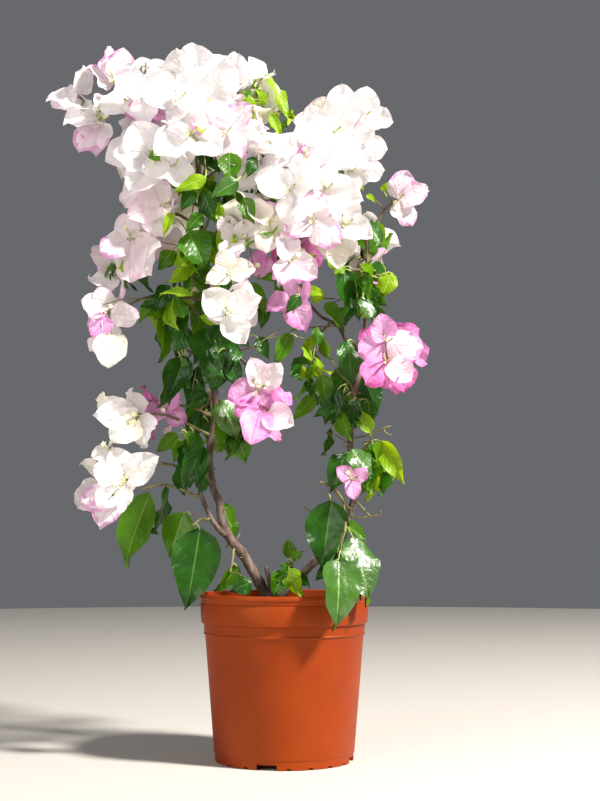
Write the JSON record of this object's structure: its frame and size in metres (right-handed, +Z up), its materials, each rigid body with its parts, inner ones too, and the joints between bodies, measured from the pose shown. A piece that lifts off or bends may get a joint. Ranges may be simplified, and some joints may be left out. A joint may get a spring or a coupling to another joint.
{
  "type": "potted bougainvillea",
  "caption": "Bougainvillea shrub in a round tapered nursery pot: two woody leaders with leafy side shoots under a crown of white to pink papery bracts.",
  "frame": {"origin": "centre of the pot's flat underside", "axes": "+Z up; +X to the right and +Y away from the viewer when the two leaders are seen side by side with the open gap between them"},
  "size_m": [0.4047, 0.2183, 0.7665],
  "materials": {
    "pot": "satin",
    "soil": "matte",
    "bark": "matte",
    "leaves": "satin",
    "blossom": "matte"
  },
  "bodies": {
    "root": {"centre_back_blossom": "blossom", "centre_blossom": "blossom", "centre_low_blossom": "blossom", "column_back_leaves": "leaves", "column_front_leaves": "leaves", "column_high_back": "blossom", "column_high_leaves": "leaves", "column_inner_leaves": "leaves", "column_low_leaves": "leaves", "column_mid_leaves": "leaves", "column_outer_leaves": "leaves", "cross_bough": "bark", "cross_leaves": "leaves", "crown_inner_leaves": "leaves", "far_left_blossom": "blossom", "foot_shoot_leaves": "leaves", "front_pink_blossom": "blossom", "front_white_blossom": "blossom", "left_back_blossom": "blossom", "left_bough_lower": "bark", "left_bough_middle": "bark", "left_bough_upper": "bark", "left_centre_blossom": "blossom", "left_flank_blossom": "blossom", "left_foot_leaves": "leaves", "left_hanging_blossom": "blossom", "left_low_blossom": "blossom", "left_low_leaves": "leaves", "left_outer_blossom": "blossom", "left_pink_blossom": "blossom", "left_shoulder_blossom": "blossom", "left_side_bough": "bark", "left_white_blossom": "blossom", "pot": "pot", "pruned_stub": "bark", "right_back_leaves": "leaves", "right_bough_lower": "bark", "right_bough_middle": "bark", "right_bough_upper": "bark", "right_foot_inner": "blossom", "right_foot_leaves": "leaves", "right_front_blossom": "blossom", "right_high_back": "blossom", "right_high_leaves": "leaves", "right_lone_flower": "blossom", "right_low_blossom": "blossom", "right_low_leaves": "leaves", "right_mid_leaves": "leaves", "right_pink_blossom": "blossom", "soil": "soil", "stem_foot_leaves": "leaves", "top_centre_blossom": "blossom", "top_left_blossom": "blossom", "top_left_bough": "bark", "top_left_outer_blossom": "blossom", "top_right_back_blossom": "blossom", "top_right_blossom": "blossom", "top_young_spray": "leaves", "trunk": "bark", "upper_front_blossom": "blossom"}
  },
  "joints": []
}
